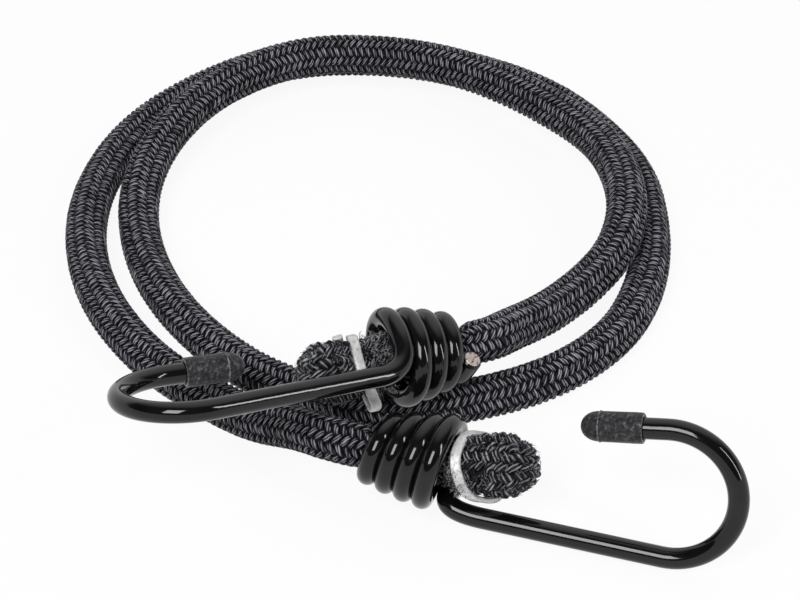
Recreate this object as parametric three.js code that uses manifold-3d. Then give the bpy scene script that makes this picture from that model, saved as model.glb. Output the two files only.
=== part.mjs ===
// A bungee cord: a braided elastic cord lying in two loose loops, with a coated wire hook on each end.
// Each hook is wound into a cone that grips the cord. Past the cone the cord's end is folded back on
// itself and held by a bent metal clip, so that it can't pull out.
// Millimetres, +Z up. The cord lies on z = 0, and the origin is under the middle of the two hooks.

import * as THREE from "three";
import { mergeVertices } from "three/addons/utils/BufferGeometryUtils.js";
import Module from "manifold-3d";

// Clearances
const PIECE_GAP = 0.3;
const TURN_GAP = 0.47;
const THREAD_GAP = 0.17;
const COAT_GAP = 0.1;
const SWING_GAP = 1.2;

// The cord: a braided sheath over a bundle of square rubber threads
const CORD_DIAMETER = 8;
const SHEATH_WALL = 1.15;
const THREADS_PER_SIDE = 3;
const NECK_DIAMETER = 5.1;
const NECK_RUN = 4;
const SEATED_SHARE = 0.7;

// The hook's wire: steel in a thin plastic coat
const WIRE_DIAMETER = 2.9;
const COAT_WALL = 0.3;
const COIL_TURNS = 3.97;
const COIL_GROWTH = 0.765;
const COIL_LAST_ANGLE = 235;
const LEG_RUN_IN = 6.5;
const LEG_LENGTH = 31.7;
const BEND_RADIUS = 11.8;
const BEND_ANGLE = 189.5;
const ARM_LENGTH = 12.5;

// The soft cap on the hook's tip
const CAP_LENGTH = 12.2;
const CAP_DIAMETER = 5.4;
const CAP_END_WALL = 1.75;

// The folded cord end and its clip, measured from the cone's mouth
const SEAM_BEFORE_MOUTH = 4.5;
const LIMB_THICKNESS = 5.1;
const LIMB_WIDTH = 10.2;
const FOLD_ROUNDING = 0.22;
const PINCHED_THICKNESS = 4.2;
const PINCHED_WIDTH = 7.6;
const CLIP_FROM_MOUTH = 5.6;
const TAIL_FROM_MOUTH = 1.5;
const CLIP_BAND = 1.9;
const CLIP_THICKNESS = 0.8;
const CLIP_TURN = 400;

// Where each hook lies: the middle of its cone's small end, and the way the cone points, in degrees.
// Then its folded end: how far it is turned, how far it reaches, and the slopes of the fold and the clip.
const HOOK_A = {
  at: [8.1, 20.1, 14.7], heading: 207.1, tilt: 9.1, roll: 112.4,
  foldTurn: -73, foldReach: 18.2, foldSlope: 0, clipSlope: -0.45,
};
const HOOK_B = {
  at: [-10.5, -2.9, 10.5], heading: -17.5, tilt: 0, roll: -19.3,
  foldTurn: 159, foldReach: 16.2, foldSlope: -0.21, clipSlope: 0.45,
};

// The cord's way from hook A to hook B: the inner loop, the crossing in front, and the outer loop
const LYING = CORD_DIAMETER / 2 - SEATED_SHARE * SHEATH_WALL;
const ROUTE = [
  [13.7, 25.2, 12.6], [21.7, 34.1, 9.6], [29.4, 43.5, 8.4], [36.5, 53.8, 9.4], [39.6, 67.3, 10.6],
  [36.2, 86.6, 10], [24.1, 103.4, 9], [8.1, 115.6, 8.8], [-8.4, 120.5, 8.8], [-25, 119.5, 8.8],
  [-41.1, 109.3, 8.4], [-50.3, 96.7, 7], [-55.3, 81.7, 4.8], [-54.6, 65.3, LYING], [-48.1, 46.7, LYING],
  [-37.3, 31.9, LYING], [-26.3, 23, LYING], [-8.3, 17.7, LYING], [10.3, 18.4, LYING],
  [25.1, 25.4, LYING], [36.2, 36.7, LYING], [42.7, 52.7, LYING], [44.3, 69.7, LYING],
  [41.9, 88.2, LYING], [27.7, 111.2, LYING], [10.2, 122.9, LYING], [-8.3, 127.9, LYING],
  [-27.3, 126.5, LYING], [-44.8, 116, LYING], [-57.8, 100.7, LYING], [-64.3, 83.2, LYING],
  [-65.3, 65.3, LYING], [-60.8, 46.7, LYING], [-50.3, 29.1, LYING], [-37, 16, 3.4], [-29.5, 9.2, 5],
  [-22.3, 3.1, 7.8],
];

// How finely the round shapes are divided
const CORD_SIDES = 12;
const CORD_STEPS = 46;
const WIRE_SIDES = 8;
const COIL_STEPS = 14;
const RUN_IN_STEPS = 5;
const BEND_STEPS = 11;
const FOLD_SIDES = 10;
const FOLD_STEPS = 6;
const CLIP_STEPS = 26;
const CAP_SIDES = 12;
const DOME_STEPS = 4;
const ROUTE_SAMPLES = 1000;
const GAP_SAMPLES = 350;

// Sizes that follow from those above
const BORE_RADIUS = CORD_DIAMETER / 2 - SHEATH_WALL;
const BUNDLE_SIDE = Math.SQRT2 * (BORE_RADIUS * Math.cos(Math.PI / CORD_SIDES) - THREAD_GAP / 2);
const THREAD_SIDE = (BUNDLE_SIDE + THREAD_GAP) / THREADS_PER_SIDE - THREAD_GAP;
const COATED_RADIUS = WIRE_DIAMETER / 2 + COAT_GAP + COAT_WALL;
const COIL_SMALL_RADIUS = NECK_DIAMETER / 2 + PIECE_GAP + COATED_RADIUS;
const COIL_PITCH = Math.sqrt((2 * COATED_RADIUS + TURN_GAP) ** 2 - COIL_GROWTH ** 2);
const COIL_LENGTH = COIL_TURNS * COIL_PITCH;
const LIMB_OFFSET = LIMB_THICKNESS / 2 + PIECE_GAP / 2;
const PINCHED_OFFSET = PINCHED_THICKNESS / 2 + PIECE_GAP / 2;
const CLIP_INNER = clipInnerRadius();
const LEG_OFFSET = CLIP_INNER + CLIP_THICKNESS + SWING_GAP + COATED_RADIUS;
const CAP_BORE = COATED_RADIUS + COAT_GAP;

const wasm = await Module();
wasm.setup();

function radians(degrees) {
  return (degrees * Math.PI) / 180;
}

function material(color, roughness, metalness) {
  return new THREE.MeshStandardMaterial({ color, roughness, metalness });
}

const BRAID = material(0x17171a, 0.85, 0);
const RUBBER = material(0xb9a77f, 0.9, 0);
const STEEL = material(0xa9a4a0, 0.4, 1);
const BLACK_COAT = material(0x0b0b0c, 0.18, 0);
const CAP_RUBBER = material(0x1c1c1d, 0.75, 0);
const GALVANISED = material(0xc4c6c8, 0.35, 1);

// The clip's inner radius: a circle round the two pinched limbs, lying side by side.
function clipInnerRadius() {
  let reach = 0;
  for (let degrees = 0; degrees < 360; degrees += 5) {
    const across = PINCHED_OFFSET + (PINCHED_THICKNESS / 2) * Math.cos(radians(degrees));
    const up = (PINCHED_WIDTH / 2) * Math.sin(radians(degrees));
    reach = Math.max(reach, Math.hypot(across, up));
  }
  return reach + PIECE_GAP;
}

// A polygon on an ellipse, as [along the normal, along the binormal] pairs.
function ellipse(sides, alongNormal, alongBinormal = alongNormal) {
  return Array.from({ length: sides }, (_, i) => {
    const angle = (2 * Math.PI * (i + 0.5)) / sides;
    return [alongNormal * Math.cos(angle), alongBinormal * Math.sin(angle)];
  });
}

function rectangle(alongNormal, alongBinormal, centre = [0, 0]) {
  const [n, b] = [alongNormal / 2, alongBinormal / 2];
  return [[n, -b], [n, b], [-n, b], [-n, -b]].map(([x, y]) => [x + centre[0], y + centre[1]]);
}

function scaled(outline, factor) {
  return outline.map(([n, b]) => [n * factor, b * factor]);
}

// Frames along a row of points, carried from one to the next without twist.
function framesAlong(points, firstNormal) {
  let normal = firstNormal.clone();
  return points.map((point, i) => {
    const before = points[Math.max(i - 1, 0)];
    const after = points[Math.min(i + 1, points.length - 1)];
    const tangent = new THREE.Vector3();
    if (point !== before) tangent.add(point.clone().sub(before).normalize());
    if (point !== after) tangent.add(after.clone().sub(point).normalize());
    tangent.normalize();
    normal = normal.clone().addScaledVector(tangent, -normal.dot(tangent)).normalize();
    return { point, normal, binormal: tangent.clone().cross(normal) };
  });
}

// A closed body whose outline changes from frame to frame, with a bore right through it if one is given.
function loft(frames, outlineAt, boreAt = null) {
  const positions = [];
  const triangles = [];
  const sides = outlineAt(0).length;
  const addRings = (ringAt) => {
    const first = positions.length / 3;
    frames.forEach(({ point, normal, binormal }, i) => {
      for (const [n, b] of ringAt(i)) {
        const place = point.clone().addScaledVector(normal, n).addScaledVector(binormal, b);
        positions.push(place.x, place.y, place.z);
      }
    });
    return first;
  };
  const addQuad = (a, b, c, d) => triangles.push(a, b, c, a, c, d);
  const outer = addRings(outlineAt);
  const bore = boreAt ? addRings(boreAt) : null;
  const last = (frames.length - 1) * sides;
  for (let j = 0; j < sides; j++) {
    const k = (j + 1) % sides;
    for (let ring = 0; ring < last; ring += sides) {
      const [low, high] = [outer + ring, outer + ring + sides];
      addQuad(low + j, low + k, high + k, high + j);
      if (boreAt) {
        const [boreLow, boreHigh] = [bore + ring, bore + ring + sides];
        addQuad(boreLow + k, boreLow + j, boreHigh + j, boreHigh + k);
      }
    }
    if (boreAt) {
      addQuad(outer + k, outer + j, bore + j, bore + k);
      addQuad(outer + last + j, outer + last + k, bore + last + k, bore + last + j);
    } else if (j > 0 && j < sides - 1) {
      triangles.push(outer, outer + k, outer + j);
      triangles.push(outer + last, outer + last + j, outer + last + k);
    }
  }
  return bufferGeometry(positions, triangles);
}

function bufferGeometry(positions, triangles) {
  const geometry = new THREE.BufferGeometry();
  geometry.setAttribute("position", new THREE.Float32BufferAttribute(positions, 3));
  geometry.setIndex(Array.from(triangles));
  geometry.computeVertexNormals();
  return geometry;
}

function asSolid(geometry) {
  const vertProperties = new Float32Array(geometry.attributes.position.array);
  const triVerts = new Uint32Array(geometry.index.array);
  return new wasm.Manifold(new wasm.Mesh({ numProp: 3, vertProperties, triVerts }));
}

// How far along a row of points each one lies.
function runAlong(points) {
  let run = 0;
  return points.map((point, i) => {
    run += i ? point.distanceTo(points[i - 1]) : 0;
    return run;
  });
}

// The least gap of a round tube to itself, between points further apart along it than the given run.
function leastGap(points, diameter, apart) {
  const along = runAlong(points);
  let least = Infinity;
  for (let i = 0; i < points.length; i++) {
    for (let j = i + 1; j < points.length; j++) {
      if (along[j] - along[i] > apart) least = Math.min(least, points[i].distanceTo(points[j]));
    }
  }
  return least - diameter;
}

// The hook's frame has its x along the cone from the small end, and its leg, bend and arm in the xz plane.
function placed(hook) {
  const group = new THREE.Group();
  group.position.set(...hook.at);
  group.rotation.set(radians(hook.roll), -radians(hook.tilt), radians(hook.heading), "ZYX");
  group.updateMatrixWorld();
  return group;
}

function coilPoint(turn) {
  const angle = radians(COIL_LAST_ANGLE - 360 * (COIL_TURNS - turn));
  const radius = COIL_SMALL_RADIUS + COIL_GROWTH * turn;
  return new THREE.Vector3(COIL_PITCH * turn, -radius * Math.cos(angle), radius * Math.sin(angle));
}

function coilPoints(stepsPerTurn) {
  const steps = Math.ceil(COIL_TURNS * stepsPerTurn);
  return Array.from({ length: steps + 1 }, (_, i) => coilPoint((COIL_TURNS * i) / steps));
}

// The wire's middle line: the cone from its cut end, the turn into the leg, the leg, the bend and the arm.
function hookWire() {
  const points = coilPoints(COIL_STEPS);
  const coilEnd = points.at(-1);
  const legStart = new THREE.Vector3(COIL_LENGTH + LEG_RUN_IN, 0, -LEG_OFFSET);
  const handle = LEG_RUN_IN / 2;
  const leaving = coilEnd.clone().sub(coilPoint(COIL_TURNS - 0.01)).setLength(handle).add(coilEnd);
  const arriving = legStart.clone().sub(new THREE.Vector3(handle, 0, 0));
  const runIn = new THREE.CubicBezierCurve3(coilEnd, leaving, arriving, legStart);
  points.push(...runIn.getPoints(RUN_IN_STEPS).slice(1));
  const centre = new THREE.Vector3(legStart.x + LEG_LENGTH, 0, BEND_RADIUS - LEG_OFFSET);
  for (let i = 0; i <= BEND_STEPS; i++) {
    const angle = radians(-90 + (BEND_ANGLE * i) / BEND_STEPS);
    const spoke = new THREE.Vector3(Math.cos(angle), 0, Math.sin(angle));
    points.push(spoke.multiplyScalar(BEND_RADIUS).add(centre));
  }
  const angle = radians(BEND_ANGLE - 90);
  const armDirection = new THREE.Vector3(-Math.sin(angle), 0, Math.cos(angle));
  const tip = points.at(-1).clone().addScaledVector(armDirection, ARM_LENGTH);
  points.push(tip);
  return { points, tip, armDirection };
}

function tipCap() {
  const radius = CAP_DIAMETER / 2;
  const bottom = CAP_LENGTH - CAP_END_WALL;
  const profile = [new THREE.Vector2(0, bottom), new THREE.Vector2(CAP_BORE, bottom)];
  profile.push(new THREE.Vector2(CAP_BORE, 0), new THREE.Vector2(radius, 0));
  for (let i = 0; i < DOME_STEPS; i++) {
    const angle = (Math.PI / 2) * (i / DOME_STEPS);
    const height = CAP_LENGTH - radius + radius * Math.sin(angle);
    profile.push(new THREE.Vector2(radius * Math.cos(angle), height));
  }
  profile.push(new THREE.Vector2(0, CAP_LENGTH));
  return new THREE.LatheGeometry(profile, CAP_SIDES);
}

function makeHook(letter, hook) {
  const group = placed(hook);
  const { points, tip, armDirection } = hookWire();
  const frames = framesAlong(points, new THREE.Vector3(1, 0, 0));
  const wire = ellipse(WIRE_SIDES, WIRE_DIAMETER / 2);
  const bore = ellipse(WIRE_SIDES, WIRE_DIAMETER / 2 + COAT_GAP);
  const skin = ellipse(WIRE_SIDES, COATED_RADIUS);
  const wireMesh = new THREE.Mesh(loft(frames, () => wire), STEEL);
  const coatMesh = new THREE.Mesh(loft(frames, () => skin, () => bore), BLACK_COAT);
  const capMesh = new THREE.Mesh(tipCap(), CAP_RUBBER);
  const seat = CAP_LENGTH - CAP_END_WALL - COAT_GAP;
  capMesh.position.copy(tip).addScaledVector(armDirection, -seat);
  capMesh.quaternion.setFromUnitVectors(new THREE.Vector3(0, 1, 0), armDirection);
  wireMesh.name = `hook_wire_${letter}`;
  coatMesh.name = `hook_coat_${letter}`;
  capMesh.name = `tip_cap_${letter}`;
  group.add(wireMesh, coatMesh, capMesh);
  return group;
}

// The folded end: out of the cone's mouth, under the clip, round the turn and back to the cut tail.
// Each station gives its place along the hook's axis, its offset in the fold's plane, and its section.
function foldStations(hook) {
  const mouth = COIL_LENGTH;
  const start = mouth - SEAM_BEFORE_MOUTH + PIECE_GAP;
  const clip = mouth + CLIP_FROM_MOUTH + CLIP_BAND;
  const turn = mouth + hook.foldReach - LIMB_OFFSET - LIMB_THICKNESS / 2;
  const round = { thick: CORD_DIAMETER, wide: CORD_DIAMETER };
  const pinched = { thick: PINCHED_THICKNESS, wide: PINCHED_WIDTH };
  const between = {
    thick: (CORD_DIAMETER + PINCHED_THICKNESS) / 2,
    wide: (CORD_DIAMETER + PINCHED_WIDTH) / 2,
  };
  const stations = [
    { x: start, offset: 0, ...round },
    { x: start + CORD_DIAMETER / 6, offset: 0, ...round },
    { x: mouth - TAIL_FROM_MOUTH, offset: -PINCHED_OFFSET / 2, ...between },
    { x: mouth, offset: -PINCHED_OFFSET, ...pinched },
    { x: clip + hook.clipSlope * CLIP_INNER, offset: -PINCHED_OFFSET, ...pinched },
  ];
  for (let i = 0; i <= FOLD_STEPS; i++) {
    const angle = radians(-90 + (180 * i) / FOLD_STEPS);
    const x = turn + LIMB_OFFSET * Math.cos(angle);
    const wide = LIMB_WIDTH * (1 - FOLD_ROUNDING * Math.cos(angle));
    stations.push({ x, offset: LIMB_OFFSET * Math.sin(angle), thick: LIMB_THICKNESS, wide });
  }
  stations.push(
    { x: clip - hook.clipSlope * CLIP_INNER, offset: PINCHED_OFFSET, ...pinched },
    { x: mouth + TAIL_FROM_MOUTH, offset: PINCHED_OFFSET, ...pinched },
  );
  return stations;
}

function foldLift(hook, x) {
  return hook.foldSlope * Math.max(0, x - COIL_LENGTH);
}

function foldedEnd(hook) {
  const stations = foldStations(hook);
  const points = stations.map(({ x, offset }) => new THREE.Vector3(x, offset, foldLift(hook, x)));
  const frames = framesAlong(points, new THREE.Vector3(0, 0, 1));
  return loft(frames, (i) => ellipse(FOLD_SIDES, stations[i].wide / 2, stations[i].thick / 2));
}

// The clip: a flat band bent askew round the two limbs, with its ends lying side by side.
function endClip(hook) {
  const radius = CLIP_INNER + CLIP_THICKNESS / 2;
  const pitch = CLIP_BAND + PIECE_GAP;
  const points = Array.from({ length: CLIP_STEPS + 1 }, (_, i) => {
    const share = i / CLIP_STEPS - 0.5;
    const angle = radians(CLIP_TURN * share);
    const middle = COIL_LENGTH + CLIP_FROM_MOUTH + (pitch * CLIP_TURN * share) / 360;
    const [offset, up] = [radius * Math.sin(angle), -radius * Math.cos(angle)];
    const x = middle - hook.clipSlope * offset - hook.foldSlope * up;
    return new THREE.Vector3(x, offset, up + foldLift(hook, middle));
  });
  const frames = framesAlong(points, new THREE.Vector3(1, 0, 0));
  const band = rectangle(CLIP_BAND, CLIP_THICKNESS);
  return loft(frames, () => band);
}

function makeCordEnd(letter, hook) {
  const group = placed(hook);
  const folded = new THREE.Group();
  folded.rotation.x = radians(hook.foldTurn);
  const endMesh = new THREE.Mesh(foldedEnd(hook), BRAID);
  const clipMesh = new THREE.Mesh(endClip(hook), GALVANISED);
  endMesh.name = `cord_end_${letter}`;
  clipMesh.name = `end_clip_${letter}`;
  folded.add(endMesh, clipMesh);
  group.add(folded);
  return group;
}

// The cord inside and next to a cone: places along the hook's axis, with the diameter that the cone leaves.
function neckStations() {
  const growth = (2 * COIL_GROWTH) / COIL_PITCH;
  const full = (CORD_DIAMETER - NECK_DIAMETER) / growth;
  const seam = COIL_LENGTH - SEAM_BEFORE_MOUTH;
  return [
    { x: seam, diameter: CORD_DIAMETER },
    { x: full, diameter: CORD_DIAMETER },
    { x: full / 2, diameter: (CORD_DIAMETER + NECK_DIAMETER) / 2 },
    { x: 0, diameter: NECK_DIAMETER },
    { x: -COATED_RADIUS - PIECE_GAP, diameter: NECK_DIAMETER },
    { x: -COATED_RADIUS - NECK_RUN / 2, diameter: (2 * CORD_DIAMETER + NECK_DIAMETER) / 3 },
    { x: -COATED_RADIUS - NECK_RUN, diameter: CORD_DIAMETER },
  ];
}

function onAxis(hook, x) {
  return placed(hook).localToWorld(new THREE.Vector3(x, 0, 0));
}

function freeCurve() {
  const outside = neckStations().at(-1).x;
  const points = ROUTE.map((place) => new THREE.Vector3(...place));
  points.unshift(onAxis(HOOK_A, 0), onAxis(HOOK_A, outside));
  points.push(onAxis(HOOK_B, outside), onAxis(HOOK_B, 0));
  return new THREE.CatmullRomCurve3(points);
}

// The free stretch, from the neck at hook A to the neck at hook B.
function freePoints(steps) {
  const curve = freeCurve();
  const neck = 1 / (curve.points.length - 1);
  const samples = Array.from({ length: ROUTE_SAMPLES + 1 }, (_, i) => {
    return curve.getPoint(neck + (1 - 2 * neck) * (i / ROUTE_SAMPLES));
  });
  const along = runAlong(samples);
  const length = along.at(-1);
  const points = Array.from({ length: steps + 1 }, (_, i) => {
    const next = along.findIndex((run) => run >= length * (i / steps));
    return samples[next];
  });
  return { points, length };
}

function makeCord() {
  const neck = neckStations();
  const { points: free, length } = freePoints(CORD_STEPS);
  const necked = (hook) => neck.slice(0, -1).map(({ x }) => onAxis(hook, x));
  const points = [...necked(HOOK_A), ...free, ...necked(HOOK_B).reverse()];
  const neckScale = neck.slice(0, -1).map(({ diameter }) => diameter / CORD_DIAMETER);
  const scale = [...neckScale, ...free.map(() => 1), ...neckScale.toReversed()];
  const frames = framesAlong(points, new THREE.Vector3(0, 0, 1));
  const skin = ellipse(CORD_SIDES, CORD_DIAMETER / 2);
  const bore = ellipse(CORD_SIDES, BORE_RADIUS);
  const tube = loft(frames, (i) => scaled(skin, scale[i]), (i) => scaled(bore, scale[i]));
  const meshes = [new THREE.Mesh(seated(tube), BRAID)];
  meshes[0].name = "sheath";
  const pitch = THREAD_SIDE + THREAD_GAP;
  for (let row = 0; row < THREADS_PER_SIDE; row++) {
    for (let column = 0; column < THREADS_PER_SIDE; column++) {
      const middle = (THREADS_PER_SIDE - 1) / 2;
      const centre = [(row - middle) * pitch, (column - middle) * pitch];
      const thread = rectangle(THREAD_SIDE, THREAD_SIDE, centre);
      const mesh = new THREE.Mesh(loft(frames, (i) => scaled(thread, scale[i])), RUBBER);
      mesh.name = `rubber_thread_${row * THREADS_PER_SIDE + column + 1}`;
      meshes.push(mesh);
    }
  }
  const inCones = 2 * (neck[0].x - neck.at(-1).x);
  console.log(`cord from seam to seam: ${(length + inCones).toFixed(1)} mm`);
  return meshes;
}

// The underside of the sheath, pressed flat by its weight where it lies on z = 0.
function seated(tube) {
  const room = new THREE.Box3().setFromBufferAttribute(tube.attributes.position);
  const size = room.getSize(new THREE.Vector3());
  const slab = new THREE.BoxGeometry(size.x + CORD_DIAMETER, size.y + CORD_DIAMETER, CORD_DIAMETER);
  const centre = room.getCenter(new THREE.Vector3());
  slab.translate(centre.x, centre.y, -CORD_DIAMETER / 2);
  slab.deleteAttribute("normal");
  slab.deleteAttribute("uv");
  const mesh = asSolid(tube).subtract(asSolid(mergeVertices(slab))).getMesh();
  return bufferGeometry(mesh.vertProperties, mesh.triVerts);
}

const bungee = new THREE.Group();
bungee.add(...makeCord());
bungee.add(makeCordEnd("a", HOOK_A), makeCordEnd("b", HOOK_B));
bungee.add(makeHook("a", HOOK_A), makeHook("b", HOOK_B));

const coilGap = leastGap(coilPoints(GAP_SAMPLES / COIL_TURNS), 2 * COATED_RADIUS, 3 * COIL_SMALL_RADIUS);
const loopGap = leastGap(freePoints(GAP_SAMPLES).points, CORD_DIAMETER, 4 * CORD_DIAMETER);
console.log(`least gap of a hook's cone to itself: ${coilGap.toFixed(2)} mm`);
console.log(`least gap of the cord to itself: ${loopGap.toFixed(2)} mm`);

export default bungee;
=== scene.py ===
# %% [markdown]
# # A bungee cord, dressed in Blender
#
# The object is an elastic cord in a black braided sheath, lying in two loose loops. Each end carries a
# hook of coated wire, wound into a cone round the cord. Past each cone the cord is folded back on itself
# and held by a bent strip of zinc-plated wire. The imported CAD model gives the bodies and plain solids. This
# script draws each solid again with its real surface: yarns, gloss, rubber and zinc. Most sizes are those
# of the CAD model, and some are fitted closer to the photograph.

import bpy
import numpy as np
from mathutils import Matrix, Vector


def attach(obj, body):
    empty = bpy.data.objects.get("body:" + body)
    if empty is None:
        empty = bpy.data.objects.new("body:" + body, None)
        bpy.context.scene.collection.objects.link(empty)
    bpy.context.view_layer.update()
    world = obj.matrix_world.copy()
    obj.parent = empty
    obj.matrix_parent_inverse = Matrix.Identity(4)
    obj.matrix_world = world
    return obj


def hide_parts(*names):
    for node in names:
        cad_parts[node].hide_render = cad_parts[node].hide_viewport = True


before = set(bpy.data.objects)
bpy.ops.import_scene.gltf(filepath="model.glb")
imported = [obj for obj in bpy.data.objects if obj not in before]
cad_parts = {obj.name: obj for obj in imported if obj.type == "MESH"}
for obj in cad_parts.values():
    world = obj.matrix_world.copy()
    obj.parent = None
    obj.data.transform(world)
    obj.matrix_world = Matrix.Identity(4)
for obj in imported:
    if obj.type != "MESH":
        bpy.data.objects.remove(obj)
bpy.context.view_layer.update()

# %% [markdown]
# ## The camera
#
# The photograph looks down on the loops from the front, at about forty degrees, through a long lens: the
# cord at the back is only a little thinner than at the front. A long lens needs a distant camera, so the
# camera is set back along its own line of sight from the point that the middle of the picture shows.

# %% Set up the camera
MM = 0.001
PICTURE_MIDDLE = Vector((-4.3, 50.7, 0)) * MM
CAMERA_DISTANCE = 573 * MM
CAMERA_ELEVATION = np.radians(39)

scene = bpy.context.scene
camera_data = bpy.data.cameras.new("camera")
camera_data.lens = 135
camera_data.sensor_width = 36
camera_data.clip_start = 0.02
camera = bpy.data.objects.new("camera", camera_data)
scene.collection.objects.link(camera)
towards_camera = Vector((0, -np.cos(CAMERA_ELEVATION), np.sin(CAMERA_ELEVATION)))
camera.location = PICTURE_MIDDLE + CAMERA_DISTANCE * towards_camera
camera.rotation_euler = (np.pi / 2 - CAMERA_ELEVATION, 0, 0)
scene.camera = camera
print("camera at", [round(c, 3) for c in camera.location])

# %% [markdown]
# ## Where the hooks lie
#
# A hook is drawn in its own frame: x runs along the wound cone from its small end, and the leg, bend
# and arm lie in the xz plane. Each end of the cord then places that frame. The folded cord end shares the
# hook's axis, turned about it by an angle of its own.

# %% Place the two ends
ENDS = {
    "a": {"at": (8.1, 20.1, 14.7), "heading": 207.1, "tilt": 9.1, "roll": 112.4, "fold_turn": -73},
    "b": {"at": (-10.5, -2.9, 10.5), "heading": -17.5, "tilt": 0, "roll": -19.3, "fold_turn": 159},
}


def turned(degrees, axis):
    return Matrix.Rotation(np.radians(degrees), 4, axis)


for end in ENDS.values():
    heading = turned(end["heading"], "Z") @ turned(-end["tilt"], "Y")
    end["hook_frame"] = Matrix.Translation(end["at"]) @ heading @ turned(end["roll"], "X")
    end["fold_frame"] = end["hook_frame"] @ turned(end["fold_turn"], "X")


def in_frame(matrix, points):
    """Points given in millimetres in a placed frame, as an array in the model's frame."""
    m = np.array(matrix)
    return np.asarray(points, float) @ m[:3, :3].T + m[:3, 3]


print("hook axes:", {k: [round(c, 2) for c in e["hook_frame"].col[0][:3]] for k, e in ENDS.items()})

# %% [markdown]
# ## The way the cord lies
#
# A cord is one smooth line, so its route is a short list of given points: off the first hook, round the
# inner loop, across the front, and round the outer loop to the second hook. A spline through the points
# gives the line. Inside each cone the line is straight, and the cord is squeezed to a neck.

# %% Make the helpers for lines
SOFTENING = 3.0


def spline(points, per_span=24):
    """A centripetal Catmull-Rom line through all the points but the first and last."""
    p = np.asarray(points, float)
    line = []
    for p0, p1, p2, p3 in zip(p, p[1:], p[2:], p[3:]):
        d0, d1, d2 = (np.linalg.norm((b - a)[:3]) ** 0.5 for a, b in ((p0, p1), (p1, p2), (p2, p3)))
        m1 = d1 * ((p1 - p0) / d0 - (p2 - p0) / (d0 + d1)) + (p2 - p1)
        m2 = d1 * ((p3 - p2) / d2 - (p3 - p1) / (d1 + d2)) + (p2 - p1)
        t = np.linspace(0, 1, per_span, endpoint=False)[:, None]
        line.append((2 * t**3 - 3 * t**2 + 1) * p1 + (t**3 - 2 * t**2 + t) * m1
                    + (3 * t**2 - 2 * t**3) * p2 + (t**3 - t**2) * m2)
    return np.vstack([*line, p[-2:-1]])


def run_along(line):
    return np.concatenate([[0], np.cumsum(np.linalg.norm(np.diff(line, axis=0), axis=1))])


def evenly(line, step):
    run = run_along(line)
    at = np.linspace(0, run[-1], int(np.ceil(run[-1] / step)) + 1)
    return np.stack([np.interp(at, run, line[:, k]) for k in range(3)], axis=1)


def softened(line, step):
    """The line with its sharp turns eased, as elastic cord can't kink; its ends stay straight."""
    reach = int(4 * SOFTENING / step)
    back, out = np.arange(reach, 0, -1)[:, None], np.arange(1, reach + 1)[:, None]
    longer = np.vstack([line[0] + back * (line[0] - line[1]), line, line[-1] + out * (line[-1] - line[-2])])
    weights = np.exp(-((np.arange(-reach, reach + 1) * step / SOFTENING) ** 2) / 2)
    weights = weights / weights.sum()
    return np.stack([np.convolve(longer[:, k], weights, "valid") for k in range(3)], axis=1)


print(f"sharp turns are eased over {SOFTENING} mm")

# %% Draw the middle line of the cord
LYING = 3.195
ROUTE = [
    (13.7, 25.2, 12.6), (21.7, 34.1, 9.6), (29.4, 43.5, 8.4), (36.5, 53.8, 9.4), (39.6, 67.3, 10.6),
    (36.2, 86.6, 10), (24.1, 103.4, 9), (8.1, 115.6, 8.8), (-8.4, 120.5, 8.8), (-25, 119.5, 8.8),
    (-41.1, 109.3, 8.4), (-50.3, 96.7, 7), (-55.3, 81.7, 4.8), (-54.6, 65.3, LYING),
    (-48.1, 46.7, LYING), (-37.3, 31.5, LYING), (-26.3, 22.3, LYING), (-8.3, 15.5, LYING),
    (10.3, 18.4, LYING), (25.1, 25.4, LYING), (36.2, 36.7, LYING), (42.7, 52.7, LYING),
    (44.3, 69.7, LYING), (41.9, 88.2, LYING), (27.7, 111.2, LYING), (10.2, 122.9, LYING),
    (-8.3, 127.9, LYING), (-27.3, 126.5, LYING), (-44.8, 116, LYING), (-57.8, 100.7, LYING),
    (-64.3, 83.2, LYING), (-65.3, 65.3, LYING), (-60.8, 46.7, LYING), (-50.3, 29.1, LYING),
    (-37, 16.6, 3.4), (-29.5, 10, 5), (-22.2, 4.5, 8.3),
]
SEAM_IN_CONE = 11.8
NECK_OUTSIDE = -5.85
LINE_STEP = 0.6


def on_axis(end, x):
    return in_frame(ENDS[end]["hook_frame"], [(x, 0, 0)])[0]


out_of_a = [on_axis("a", 0), on_axis("a", NECK_OUTSIDE)]
into_b = [on_axis("b", NECK_OUTSIDE), on_axis("b", 0)]
free = spline([*out_of_a, *ROUTE, *into_b])
cord_line = evenly(np.vstack([on_axis("a", SEAM_IN_CONE), on_axis("a", 0), free,
                              on_axis("b", 0), on_axis("b", SEAM_IN_CONE)]), LINE_STEP)
cord_line = softened(cord_line, LINE_STEP)
cord_run = run_along(cord_line)
CORD_LENGTH = cord_run[-1]
print(f"cord from seam to seam: {CORD_LENGTH:.1f} mm in {len(cord_line)} points")

# %% [markdown]
# ## A skin round a line
#
# Sheath, folded ends, wires and hairs are all sections carried along a line. The section's frame is
# carried from point to point without twist, so that the braid's columns run straight along the cord. The
# helper below answers one question: where is the point at this run, this angle and this height?

# %% Make the helper for skins
OVAL_POINTS = 721


def unit(ways):
    return ways / np.linalg.norm(ways, axis=-1, keepdims=True)


def carried(line, first):
    """Tangent, normal and binormal at each point of a line, carried along it without twist."""
    tangents = unit(np.gradient(line, axis=0))
    normals = np.empty_like(line)
    normal = np.asarray(first, float)
    for i, tangent in enumerate(tangents):
        normal = unit(normal - normal.dot(tangent) * tangent)
        normals[i] = normal
    return tangents, normals, np.cross(tangents, normals)


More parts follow.
